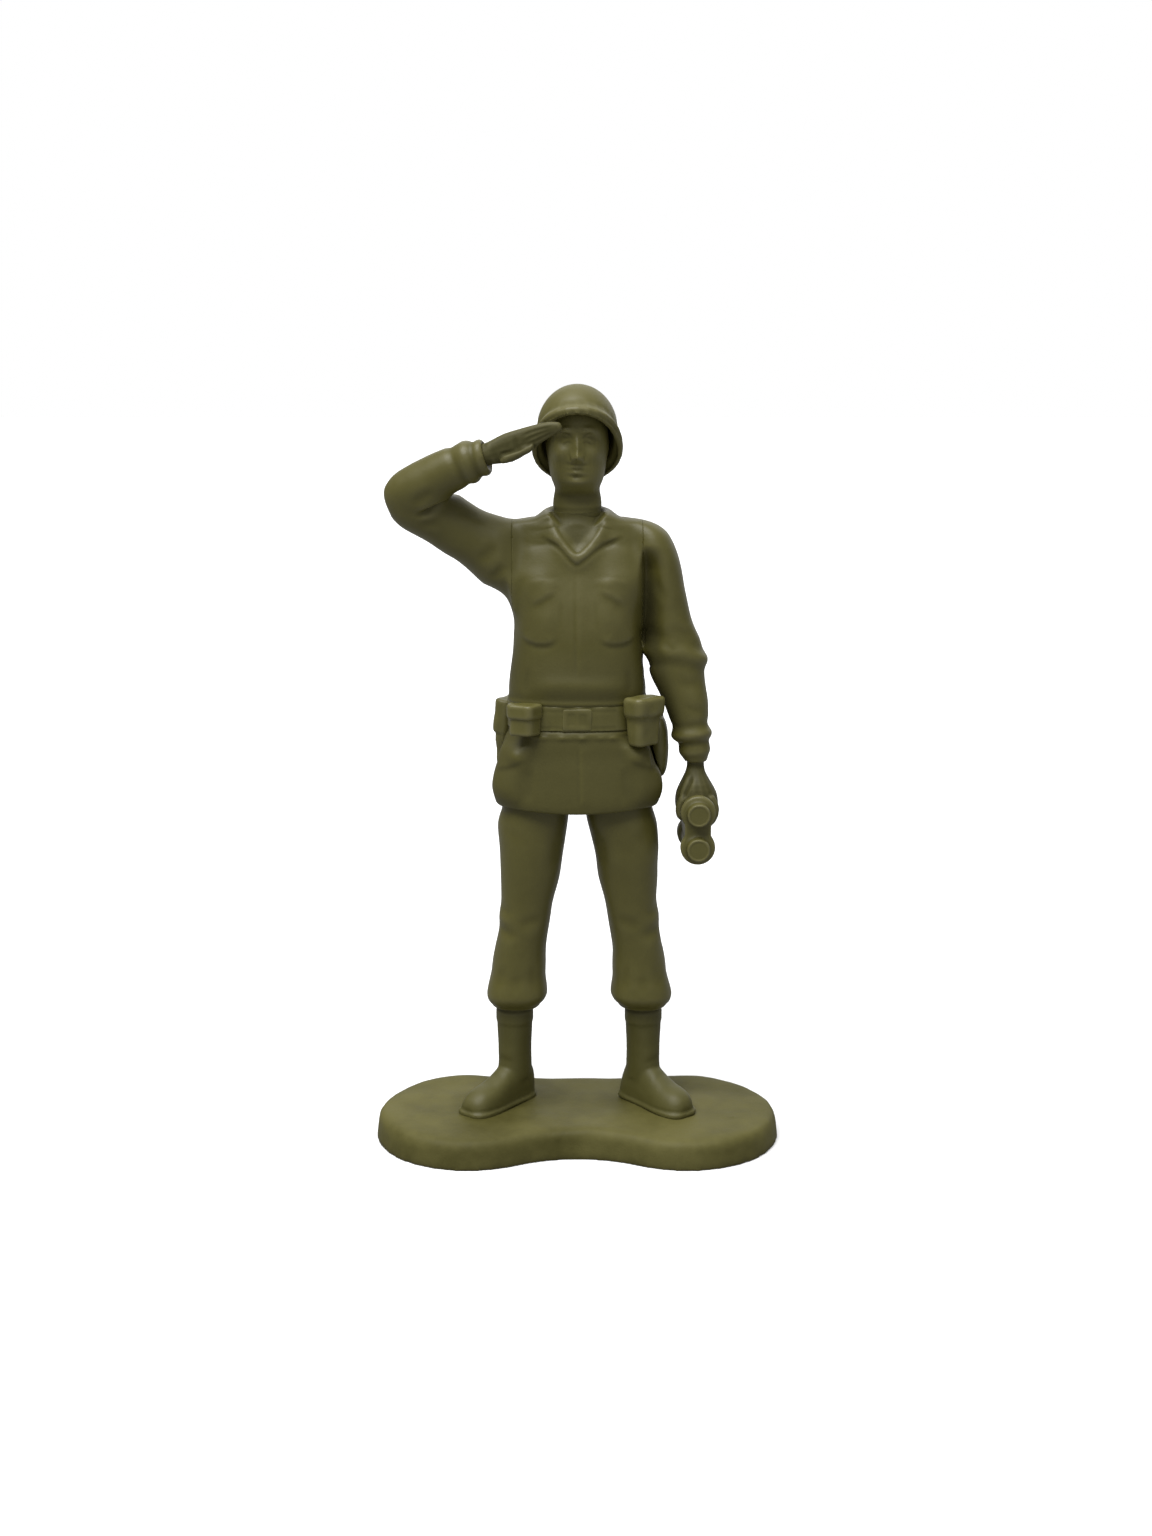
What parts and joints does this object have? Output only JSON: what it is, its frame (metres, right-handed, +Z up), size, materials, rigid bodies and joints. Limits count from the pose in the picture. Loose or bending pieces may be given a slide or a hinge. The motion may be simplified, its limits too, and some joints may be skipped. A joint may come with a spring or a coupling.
{
  "type": "toy soldier figure",
  "caption": "Saluting toy soldier in helmet and belted field jacket, binoculars in the lowered hand, with a turning head, shoulders and wrists, on a low waisted stand.",
  "frame": {"origin": "middle of the stand's underside", "axes": "+Z up through the figure, -Y the way the figure faces, +X towards the figure's left hand"},
  "size_m": [0.0806, 0.0383, 0.1479],
  "materials": {
    "uniform": "satin moulded plastic",
    "webbing": "satin moulded plastic",
    "skin": "satin moulded plastic",
    "helmet": "satin moulded plastic",
    "boots": "satin moulded plastic",
    "stand": "matte moulded plastic"
  },
  "bodies": {
    "stand_and_body": {"base": "stand", "right_boot": "boots", "left_boot": "boots", "right_leg": "uniform", "left_leg": "uniform", "jacket_front": "uniform", "jacket_back": "uniform", "belt": "webbing", "buckle": "webbing", "cartridge_pouch": "webbing", "field_pouch": "webbing", "holster": "webbing", "canteen": "webbing"},
    "head_and_helmet": {"head": "skin", "helmet": "helmet"},
    "right_sleeve": {"right_arm": "uniform"},
    "left_sleeve": {"left_arm": "uniform"},
    "saluting_hand": {"right_hand": "skin"},
    "hand_with_glasses": {"left_hand": "skin", "binoculars": "webbing"}
  },
  "joints": [
    {"name": "neck_turn", "type": "hinge", "parent": "stand_and_body", "child": "head_and_helmet", "pos_m": [0, 0.002, 0.1245], "axis": [0, 0, 1], "range_deg": [-60, 60]},
    {"name": "right_shoulder", "type": "hinge", "parent": "stand_and_body", "child": "right_sleeve", "pos_m": [-0.0121, 0.002, 0.1165], "axis": [1, 0, 0], "range_deg": [0, 105]},
    {"name": "left_shoulder", "type": "hinge", "parent": "stand_and_body", "child": "left_sleeve", "pos_m": [0.0121, 0.002, 0.1165], "axis": [-1, 0, 0], "range_deg": [-40, 150]},
    {"name": "right_wrist", "type": "hinge", "parent": "right_sleeve", "child": "saluting_hand", "pos_m": [-0.0164, -0.008, 0.1349], "axis": [0.9451, -0.1781, 0.2739], "range_deg": [-25, 45]},
    {"name": "left_wrist", "type": "hinge", "parent": "left_sleeve", "child": "hand_with_glasses", "pos_m": [0.0231, -0.0004, 0.0761], "axis": [0.1579, -0.0296, -0.987], "range_deg": [-20, 20]}
  ]
}
